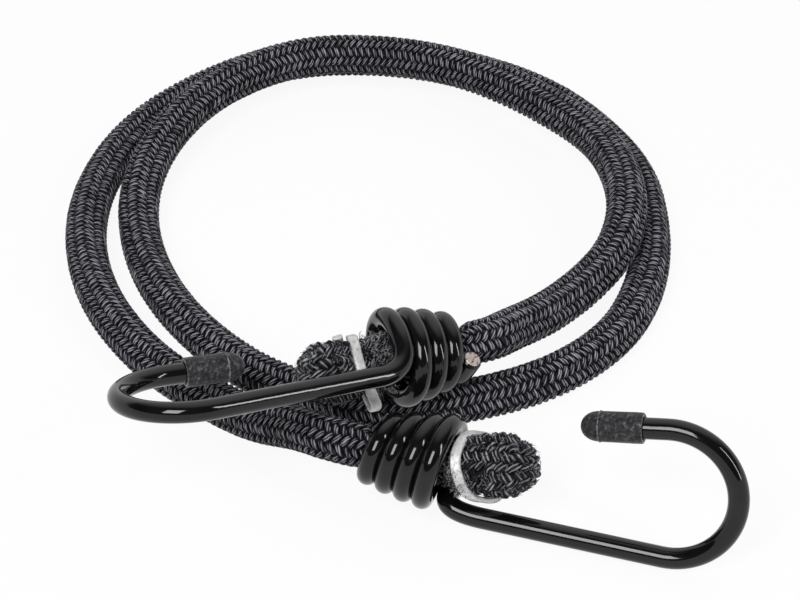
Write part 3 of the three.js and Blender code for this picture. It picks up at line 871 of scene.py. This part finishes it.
def turned_body(foot, way, first):
    """The profile of (radius, height) turned round the way from a foot point."""
    side = np.cross(way, first)
    angle = 2 * np.pi * np.arange(CAP_SIDES)[:, None] / CAP_SIDES
    spoke = np.cos(angle) * np.asarray(first) + np.sin(angle) * side
    rings = [foot + height * way + radius * spoke for radius, height in profile[1:-1]]
    points = np.vstack([*rings, foot + profile[0][1] * way, foot + profile[-1][1] * way])
    tail, nose = len(points) - 2, len(points) - 1
    faces = ring_faces(len(rings), CAP_SIDES)
    last = (len(rings) - 1) * CAP_SIDES
    for j in range(CAP_SIDES):
        k = (j + 1) % CAP_SIDES
        faces.append([k, j, tail])
        faces.append([last + j, last + k, nose])
    around = [CAP_SIDES / 4 * abs(2 * j / CAP_SIDES - 1) for j in range(CAP_SIDES)]
    uv = [(a, height) for _, height in profile[1:-1] for a in around]
    edge_tone = [EDGE_LIGHTENING * (edge in LIGHTER_EDGES) for edge in profile[1:-1] for _ in around]
    return points, faces, uv + [(0, profile[0][1]), (0, profile[-1][1])], [*edge_tone, 0, 0]


for letter, (wire_line, arm_way) in hook_lines.items():
    points, faces, uv, edge_tone = turned_body(wire_line[-1] - CAP_SEAT * arm_way, arm_way, (0, 1, 0))
    hook_piece("vinyl_cap", letter, points, faces, CAP, "cap_rubber", "tip_cap", uv=uv, tone=edge_tone)

# %% [markdown]
# ## Clips
#
# The clip is a short piece of flat zinc-plated wire, bent round the fold. The plating is bright and
# mottled, with scratches along and across it.

# %% Mix the zinc
zinc = Finish("scratched_zinc")
mottle = zinc.noise(zinc.coordinates("Object"), 700, 4, 0.65)
scratches = zinc.noise(zinc.coordinates("UV", (14, 1.2, 1)), 1.0, 5, 0.7)
zinc_colour = zinc.ramp(mottle, (0.3, (0.3, 0.3, 0.3)), (0.45, (0.6, 0.6, 0.595)), (0.7, (0.76, 0.76, 0.75)))
ZINC = zinc.set(Base_Color=zinc_colour, Metallic=0.7, Roughness=zinc.between(scratches, 0.3, 0.6),
                Normal=zinc.bump(scratches, 0.5, 0.0002, zinc.bump(mottle, 0.25, 0.0004)))
print("clip finish:", ZINC.name)

# %% [markdown]
# The band is a rounded bar swept round a slanting oval loop, so its edges catch the light. The loop is
# given by angles round the fold and the place along it at each angle. One end of the first clip has sprung
# away from the fold.

# %% Bend the clips
CLIPS = {
    "a": {"deep": 5.2, "tall": 6.6, "drop": 1.0, "spring": 1.6,
          "angles": (-152, -110, -60, -30, 0, 25, 50, 88, 113, 140, 176),
          "x": (24.0, 21.8, 20.0, 20.2, 21.0, 21.5, 22.7, 24.4, 24.6, 24.1, 23.1)},
    "b": {"deep": 5.2, "tall": 5.85, "drop": -0.3, "spring": 0.0,
          "angles": (-27, 0, 16, 44, 68, 88, 108, 131, 155, 180, 205, 270, 310),
          "x": (20.7, 19.2, 18.1, 17.45, 17.3, 17.7, 18.5, 19.6, 21.0, 23.0, 24.4, 24.2, 23.0)},
}
CLIP_BAND = 1.9
CLIP_THICKNESS = 1.0
BAND_CORNER = 0.34
SPRUNG_ANGLE = np.radians(50)
DEGREES_PER_STEP = 10


def rounded_bar(wide, thick, corner):
    """The outline of a bar with rounded edges, counter-clockwise, as (wide, thick) pairs."""
    outline = []
    for quarter, (sx, sy) in enumerate(SQUARE):
        for degrees in (0, 30, 60, 90):
            angle = np.radians(90 * quarter + degrees)
            outline.append((sx * (wide / 2 - corner) + corner * np.cos(angle),
                            sy * (thick / 2 - corner) + corner * np.sin(angle)))
    return np.array(outline)


def clip_body(letter):
    clip, fold = CLIPS[letter], FOLDS[letter]
    bends = np.array(clip["angles"], float)
    ghosts = np.r_[2 * bends[0] - bends[1], bends, 2 * bends[-1] - bends[-2]]
    places = np.r_[clip["x"][0], clip["x"], clip["x"][-1]]
    smooth = spline(np.c_[ghosts / DEGREES_PER_STEP, places, np.zeros(len(ghosts))], 10)
    angle, x = np.radians(DEGREES_PER_STEP * smooth[:, 0]), smooth[:, 1]
    c, s = np.cos(angle), np.sin(angle)
    line = np.stack([x, clip["deep"] * s, -clip["tall"] * c - clip["drop"] + fold_lift(fold, x)], axis=1)
    outward = np.stack([np.zeros(len(x)), clip["tall"] * s, -clip["deep"] * c], axis=1)
    sprung = clip["spring"] * np.clip(1 - (angle - angle[0]) / SPRUNG_ANGLE, 0, 1) ** 2
    line = line + sprung[:, None] * outward / np.linalg.norm(outward, axis=1)[:, None]
    tangents = np.gradient(line, axis=0)
    wide_way = unit(np.cross(outward, tangents))
    thick_way = unit(np.cross(tangents, wide_way))
    bar = rounded_bar(CLIP_BAND, CLIP_THICKNESS, BAND_CORNER)
    rings = line[:, None] + bar[None, :, :1] * wide_way[:, None] + bar[None, :, 1:] * thick_way[:, None]
    uv = np.stack(np.broadcast_arrays(np.arange(len(bar))[None, :] * 0.3, run_along(line)[:, None]), -1)
    faces = closed_faces(len(line), len(bar))
    return in_frame(ENDS[letter]["fold_frame"], rings.reshape(-1, 3)), faces, uv.reshape(-1, 2)


for letter in CLIPS:
    points, faces, uv = clip_body(letter)
    make_piece(f"zinc_clip_{letter}", points, faces, ZINC, "cord", "galvanised",
               replaces=[f"end_clip_{letter}"], uv=uv)

# %% [markdown]
# ## The frayed tails
#
# Where the cord was cut, its yarns have opened into a ragged brush that shows between the cone and the
# clip. Hair-thin tapered tubes, bent at random from a fixed seed, make the brush. They start in the cut
# face and round its rim, and lean the way the tail points. Shorter ones lie on the fold as fuzz.

# %% Make the helper for hairs
HAIR_POINTS = 9
HAIR_SIDES = 4
HAIR_TAPER = 0.5
ASKEW = (0.3, 0.5, 0.8)


def hairs(root, way, length, thickness, curled, random):
    """Curled, tapered hairs from their roots: points, faces and a tone for each point."""
    count = len(root)
    curl = random.uniform(0.25, 1, count) * curled
    turns = random.uniform(0.5, 1.8, count)
    phase = random.uniform(0, 2 * np.pi, count)
    t = np.linspace(0, 1, HAIR_POINTS)[:, None]
    spokes = (2 * np.pi * np.arange(HAIR_SIDES) / HAIR_SIDES)[None, :, None]
    points, faces = [], []
    for n in range(count):
        side = unit(np.cross(way[n], ASKEW))
        wind = phase[n] + 2 * np.pi * turns[n] * t
        line = root[n] + length[n] * t * way[n]
        line = line + curl[n] * t * (np.cos(wind) * side + np.sin(wind) * np.cross(way[n], side))
        _, normals, binormals = carried(line, side)
        girth = thickness[n] * (1 - HAIR_TAPER * t)
        ring = np.cos(spokes) * normals[:, None] + np.sin(spokes) * binormals[:, None]
        first = n * HAIR_POINTS * HAIR_SIDES
        points.append((line[:, None] + girth[:, None] * ring).reshape(-1, 3))
        faces += closed_faces(HAIR_POINTS, HAIR_SIDES, first)
    tones = np.repeat(np.clip(random.normal(0.4, 0.35, count), 0, 1), HAIR_POINTS * HAIR_SIDES)
    return np.vstack(points), faces, tones


print(f"a hair has {HAIR_POINTS * HAIR_SIDES} points")

# %% Fray the tails
FRAYED_RUN = {"a": 4.6, "b": 2.0}
FRAYED_HAIRS, FUZZ_HAIRS = 700, 1400
FRAYED_SEED, FUZZ_SEED = 40, 50
FRAYED_LENGTH, FRAYED_THICKNESS, FRAYED_CURL = (0.6, 2.0), (0.04, 0.1), 0.34
FUZZ_LENGTH, FUZZ_THICKNESS, FUZZ_CURL = (0.4, 0.9), (0.03, 0.06), 0.1
FUZZ_SLANT = np.radians(55)


def frayed_tail(skin, frayed_run, seed):
    random = np.random.default_rng(seed)
    count = FRAYED_HAIRS
    back = frayed_run * random.uniform(0, 1, count) ** 1.5
    at = skin.run[-1] - back
    depth = np.where(back < 0.5, np.sqrt(random.uniform(0.05, 1, count)), 0.95)
    middle = skin.along(skin.line, at)
    spoke = skin.at(at, random.uniform(0, 1, count), np.zeros(count)) - middle
    way = 0.8 * skin.tangents[-1] + unit(spoke) * random.uniform(0, 0.7, (count, 1))
    way = way + random.normal(0, 0.4, (count, 3))
    length = random.uniform(*FRAYED_LENGTH, count)
    thickness = random.uniform(*FRAYED_THICKNESS, count)
    return hairs(middle + depth[:, None] * spoke, unit(way), length, thickness, FRAYED_CURL, random)


def fuzz(skin, seed):
    random = np.random.default_rng(seed)
    count = FUZZ_HAIRS
    at = random.uniform(0.2, 0.97, count) * skin.run[-1]
    middle = skin.along(skin.line, at)
    spoke = skin.at(at, random.uniform(0, 1, count), random.uniform(-0.05, 0.06, count)) - middle
    along = unit(skin.along(skin.tangents, at))
    slant = random.choice((-1, 1), count) * random.normal(FUZZ_SLANT, 0.25, count)
    way = np.cos(slant)[:, None] * along + np.sin(slant)[:, None] * unit(np.cross(along, spoke))
    way = way + 0.06 * unit(spoke) * random.normal(0, 1, (count, 1))
    length = random.uniform(*FUZZ_LENGTH, count)
    thickness = random.uniform(*FUZZ_THICKNESS, count)
    return hairs(middle + spoke, unit(way), length, thickness, FUZZ_CURL, random)


for n, (letter, skin) in enumerate(fold_skins.items()):
    points, faces, tones = frayed_tail(skin, FRAYED_RUN[letter], FRAYED_SEED + n)
    make_piece(f"frayed_tail_{letter}", points, faces, LOOSE, "cord", "braid", uv=points[:, :2], tone=tones)
    points, faces, tones = fuzz(skin, FUZZ_SEED + n)
    make_piece(f"fold_fuzz_{letter}", points, faces, LOOSE, "cord", "braid", uv=points[:, :2], tone=tones)

# %% [markdown]
# The free cord leaves one hook and goes back into the other, so both its ends are on the object. What
# sits on it goes with it: the braid, the core, the folded ends, the clips and the frayed tails.

# %% [markdown]
# ## The floor
#
# The photograph is a bright studio shot on white. The floor is grey for the light that it throws back at
# the cord. For what the camera, mirrors and glass see of it, it mixes in a plain glow, so it looks white
# and still keeps the soft shadow.

# %% Lay the floor
FLOOR_GREY = (0.3, 0.3, 0.3, 1)
FLOOR_GLOW = 1.22
GLOW_SHARE = 0.75
FLOOR_RADIUS = 2.2
SWEEP_RADIUS = 0.8
FLOOR_SIDES = 96
FLOOR_LEVEL = -0.0001

white = Finish("white_floor")
white.set(Base_Color=FLOOR_GREY, Roughness=0.9, Specular_IOR_Level=0.0)
glow = white.node("ShaderNodeEmission", Strength=FLOOR_GLOW)
rays = white.node("ShaderNodeLightPath").outputs
seen = white.maths("MAXIMUM", rays["Is Camera Ray"], rays["Is Glossy Ray"])
seen = white.maths("MAXIMUM", seen, rays["Is Transmission Ray"])
mix = white.node("ShaderNodeMixShader", Fac=white.maths("MULTIPLY", seen, GLOW_SHARE))
white.put(mix.inputs[1], white.shader.outputs["BSDF"])
white.put(mix.inputs[2], glow.outputs["Emission"])
white.put(white.tree.nodes["Material Output"].inputs["Surface"], mix.outputs["Shader"])

floor_profile = [(0.05, 0), (0.6, 0), (FLOOR_RADIUS, 0)]
for degrees in range(10, 91, 10):
    c, s = cos_sin(degrees)
    floor_profile.append((FLOOR_RADIUS + SWEEP_RADIUS * s, SWEEP_RADIUS * (1 - c)))
spokes = 2 * np.pi * np.arange(FLOOR_SIDES) / FLOOR_SIDES
rings = [[(r * np.cos(a), r * np.sin(a), z) for a in spokes] for r, z in floor_profile]
floor_mesh = bpy.data.meshes.new("floor")
floor_mesh.from_pydata([p for ring in rings for p in ring], [],
                       ring_faces(len(rings), FLOOR_SIDES, inward=True) + lid(0, FLOOR_SIDES))
floor_mesh.polygons.foreach_set("use_smooth", [True] * len(floor_mesh.polygons))
floor_mesh.materials.append(white.material)
floor = bpy.data.objects.new("floor", floor_mesh)
floor.location.z = FLOOR_LEVEL
scene.collection.objects.link(floor)
print("floor at", floor.location.z)

# %% [markdown]
# ## World and lamps
#
# Gloss shows what stands round it. A soft patch of sky behind and above lights the top of the cord, and the
# white of the studio gives the wire its thin light rims. Two soft boxes stand in front, a broad one on the
# left and a narrow one on the right: they give the paired streaks on the wire.

# %% Light the sky
SKY_EVERYWHERE = 0.05

world = bpy.data.worlds.new("studio")
scene.world = world
world.use_nodes = True
sky = Recipe(world.node_tree)
direction = sky.node("ShaderNodeTexCoord").outputs["Generated"]
sky_rays = sky.node("ShaderNodeLightPath").outputs


def sky_glow(way, first, full, strength):
    """A soft patch of light: nothing where the direction's share of the way is first, all of it at full."""
    facing = sky.node("ShaderNodeVectorMath", {"operation": "DOT_PRODUCT"})
    sky.put(facing.inputs[0], direction)
    sky.put(facing.inputs[1], way)
    patch = sky.node("ShaderNodeMapRange", {"interpolation_type": "SMOOTHSTEP"},
                     Value=facing.outputs["Value"], From_Min=first, From_Max=full, To_Max=strength)
    return patch.outputs["Result"]


overhead = sky_glow((0.15, 0.63, 0.76), first=0.6, full=1.0, strength=1.1)
low_backdrop = sky_glow((0, 0.6, -1), first=-0.3, full=0.05, strength=1.0)
mirrored = sky.maths("MAXIMUM", sky_rays["Is Glossy Ray"], sky_rays["Is Transmission Ray"])
shown = sky.maths("MAXIMUM", sky.maths("MULTIPLY", mirrored, low_backdrop), sky_rays["Is Camera Ray"])
background = sky.tree.nodes["Background"].inputs
sky.put(background["Color"], (1, 1, 1, 1))
sky.put(background["Strength"], sky.maths("MAXIMUM", shown, sky.maths("ADD", overhead, SKY_EVERYWHERE)))
print("sky patches: overhead, low backdrop")

# %% Set up the soft boxes
LAMP_DISTANCE = 1.2


def soft_box(name, azimuth, elevation, size, power):
    """An area lamp that looks at the hooks; azimuth 0 is in front, and grows to the right."""
    a, e = np.radians(azimuth), np.radians(elevation)
    lamp = bpy.data.lights.new(name, "AREA")
    lamp.shape = "RECTANGLE"
    lamp.size, lamp.size_y = size
    lamp.energy = power
    box = bpy.data.objects.new(name, lamp)
    way = Vector((np.sin(a) * np.cos(e), -np.cos(a) * np.cos(e), np.sin(e)))
    box.location = way * LAMP_DISTANCE
    box.rotation_euler = way.to_track_quat("Z", "Y").to_euler()
    scene.collection.objects.link(box)


soft_box("left_box", azimuth=-26, elevation=47, size=(0.5, 0.6), power=11)
soft_box("right_box", azimuth=62, elevation=32, size=(0.12, 0.8), power=5)
scene.view_settings.view_transform = "Standard"
